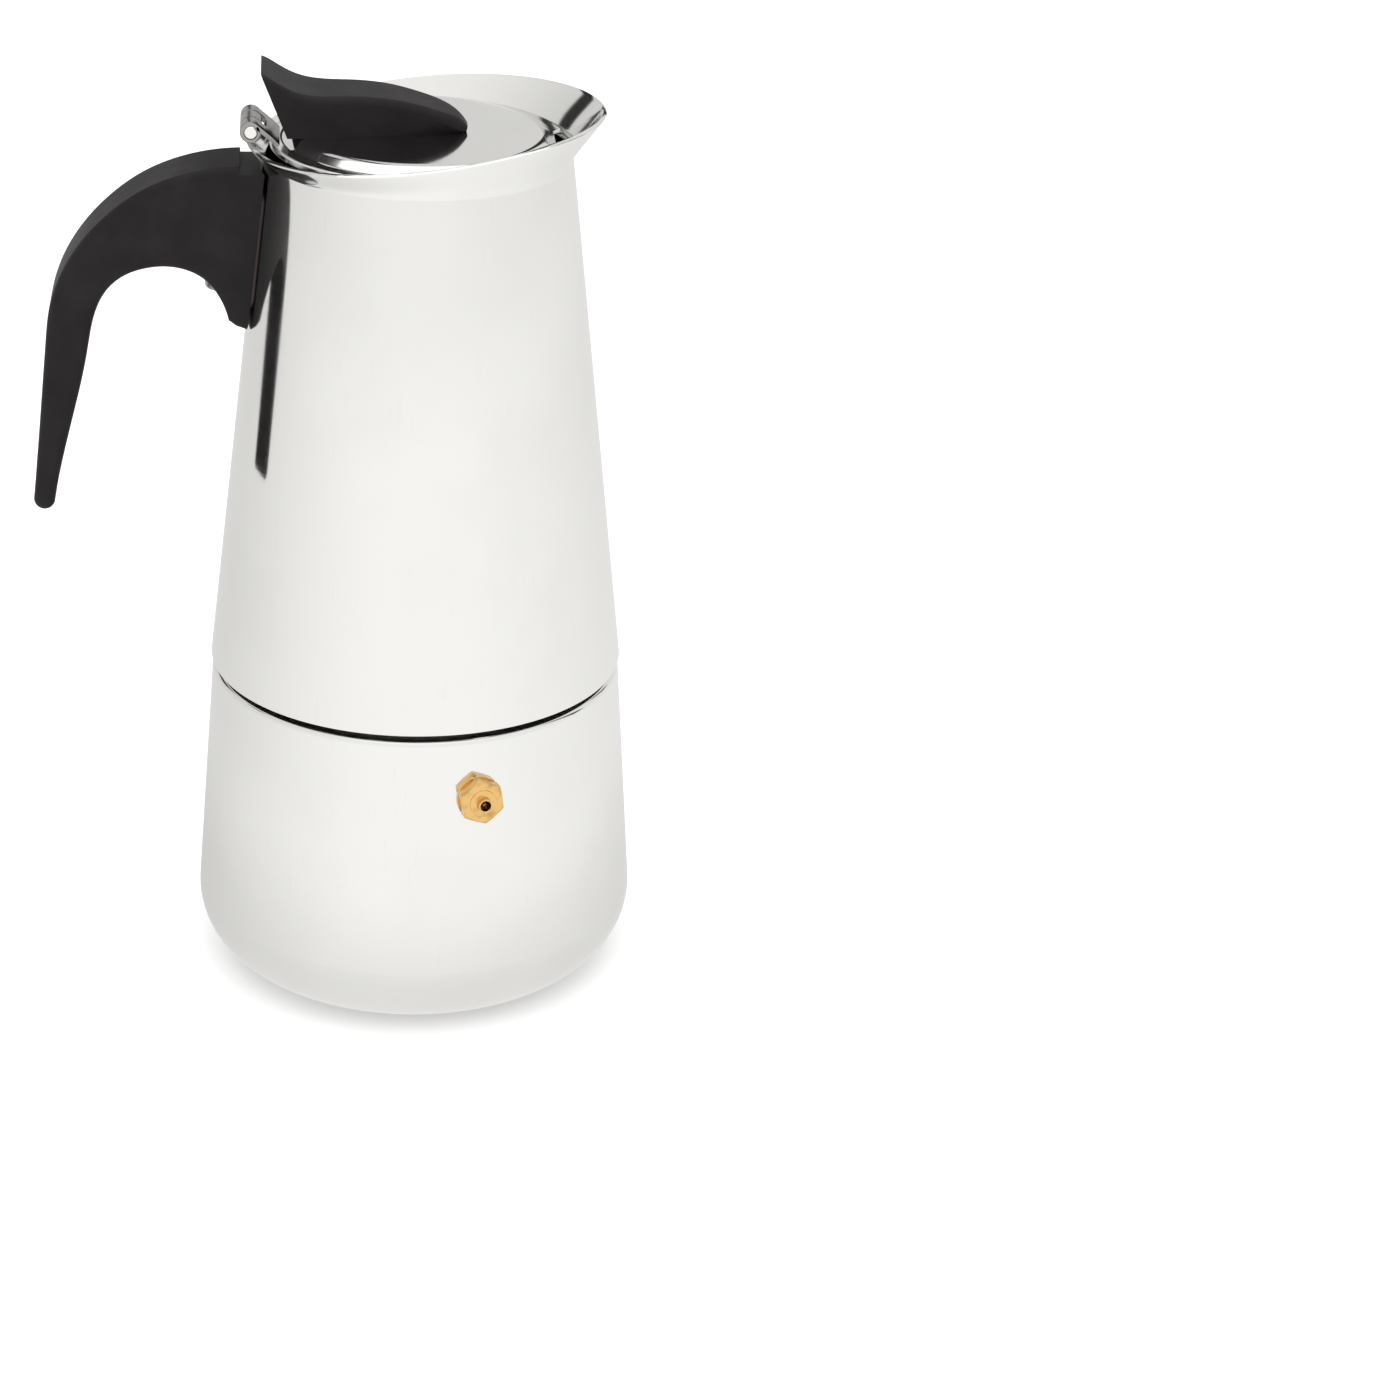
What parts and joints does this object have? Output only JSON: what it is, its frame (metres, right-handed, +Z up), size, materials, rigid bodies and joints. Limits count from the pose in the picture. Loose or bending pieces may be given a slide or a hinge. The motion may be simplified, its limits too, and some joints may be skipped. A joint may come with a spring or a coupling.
{
  "type": "moka pot",
  "caption": "Stovetop coffee maker: a boiler with a safety valve, a funnel, and a screw-on jug with a hinged lid, a hook handle and a pouring lip.",
  "frame": {"origin": "centre of the base, on the surface the pot stands on", "axes": "+Z up, +X towards the pouring lip, handle and lid hinge towards -X"},
  "size_m": [0.1404, 0.106, 0.2198],
  "materials": {
    "polished_steel": "mirror polished",
    "pressed_steel": "satin, as pressed",
    "brass": "turned and polished",
    "black_plastic": "fine moulded grain",
    "silicone": "smooth",
    "spring_steel": "drawn wire"
  },
  "bodies": {
    "boiler": {"boiler_shell": "polished_steel", "valve_body": "brass", "valve_washer": "silicone", "valve_nut": "brass", "valve_retainer": "brass"},
    "valve_poppet": {"valve_poppet": "brass", "valve_spring": "spring_steel"},
    "funnel": {"funnel_basket": "pressed_steel", "funnel_stem": "pressed_steel", "funnel_screen": "pressed_steel"},
    "gasket": {"gasket": "silicone"},
    "filter_plate": {"filter_plate": "pressed_steel"},
    "jug": {"jug_shell": "polished_steel", "jug_floor": "pressed_steel", "riser_tube": "pressed_steel", "riser_cap": "pressed_steel", "handle_bracket": "polished_steel", "handle": "black_plastic", "handle_screw": "pressed_steel", "hinge_bracket": "polished_steel", "hinge_pin": "polished_steel"},
    "lid": {"lid": "polished_steel", "lid_knob": "black_plastic", "knob_screws": "pressed_steel"}
  },
  "joints": [
    {"name": "valve_lift", "type": "slide", "parent": "boiler", "child": "valve_poppet", "axis": [0.2582, -0.9634, 0.0717], "range_m": [0, 0.0008], "stiffness_N_per_m": 500, "springref_m": -0.0022},
    {"name": "jug_lift_off", "type": "slide", "parent": "boiler", "child": "gasket", "axis": [0, 0, 1], "range_m": [0, 0.18]},
    {"name": "funnel_lift", "type": "slide", "parent": "boiler", "child": "funnel", "axis": [0, 0, 1], "range_m": [0, 0.09]},
    {"name": "jug_screw_rise", "type": "slide", "parent": "gasket", "child": "filter_plate", "axis": [0, 0, 1], "range_m": [0, 0.00455]},
    {"name": "jug_turn", "type": "hinge", "parent": "filter_plate", "child": "jug", "pos_m": [0, 0, 0.08], "axis": [0, 0, 1], "range_deg": [0, 540]},
    {"name": "lid_hinge", "type": "hinge", "parent": "jug", "child": "lid", "pos_m": [-0.0373, 0, 0.2063], "axis": [0, -1, 0], "range_deg": [0, 125]}
  ],
  "couplings": [
    {"joint": "jug_screw_rise", "follows": "jug_turn", "m_per_rad": 0.00047746},
    {"joint": "funnel_lift", "follows": "jug_lift_off", "ratio": 0.5}
  ]
}
